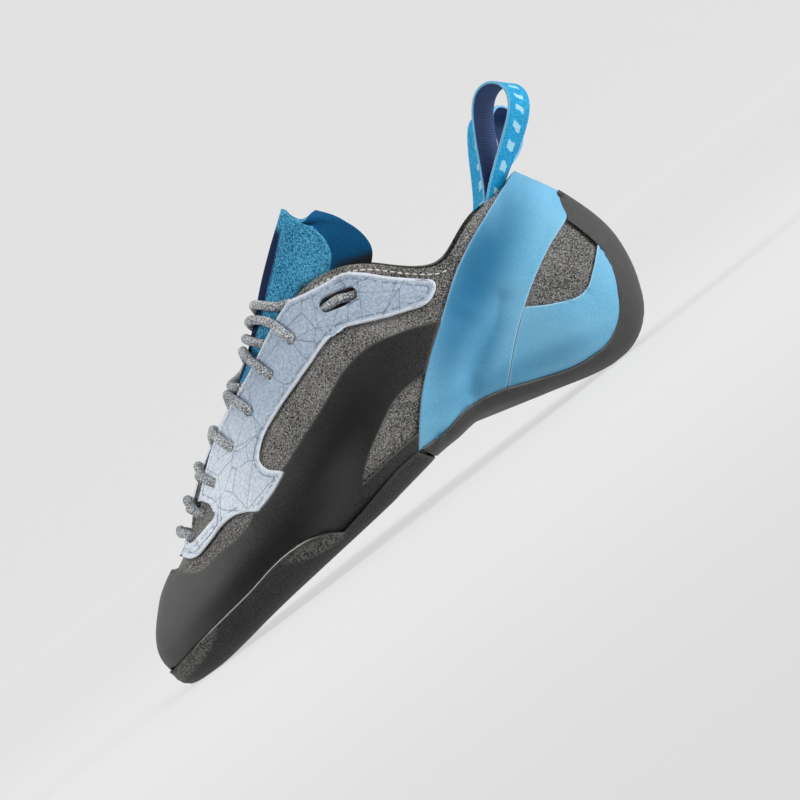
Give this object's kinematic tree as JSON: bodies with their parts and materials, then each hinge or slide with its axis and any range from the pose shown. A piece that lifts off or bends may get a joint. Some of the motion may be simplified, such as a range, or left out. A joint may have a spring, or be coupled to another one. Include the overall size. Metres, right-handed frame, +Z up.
{
  "type": "climbing shoe",
  "caption": "Laced climbing shoe on a downturned, asymmetric last: hollow upper, rubber rands, half sole, tension strap, tongue, lace and heel pull loops.",
  "frame": {"origin": "on the floor, under the middle of the flat spot of the heel", "axes": "+X from the heel to the toe, +Y to the outer side of the foot, +Z up"},
  "size_m": [0.2421, 0.087, 0.1224],
  "materials": {
    "upper": "grey mottled suede",
    "insole": "plain board with a thin cloth",
    "tongue": "blue napped suede",
    "eyestay": "pale blue smooth microfibre",
    "black_rubber": "matt black",
    "blue_rubber": "matt light blue",
    "sole_rubber": "matt black with ground edges",
    "lace": "grey round braid",
    "webbing": "cyan woven tape"
  },
  "bodies": {
    "root": {"upper": "upper", "insole": "insole", "tongue": "tongue", "eyestay": "eyestay", "toe_rubber": "black_rubber", "tension_strap": "blue_rubber", "heel_cup_outer": "blue_rubber", "heel_cup_inner": "blue_rubber", "heel_rubber": "black_rubber", "outsole": "sole_rubber", "lace": "lace", "pull_loop_outer": "webbing", "pull_loop_inner": "webbing"}
  },
  "joints": []
}
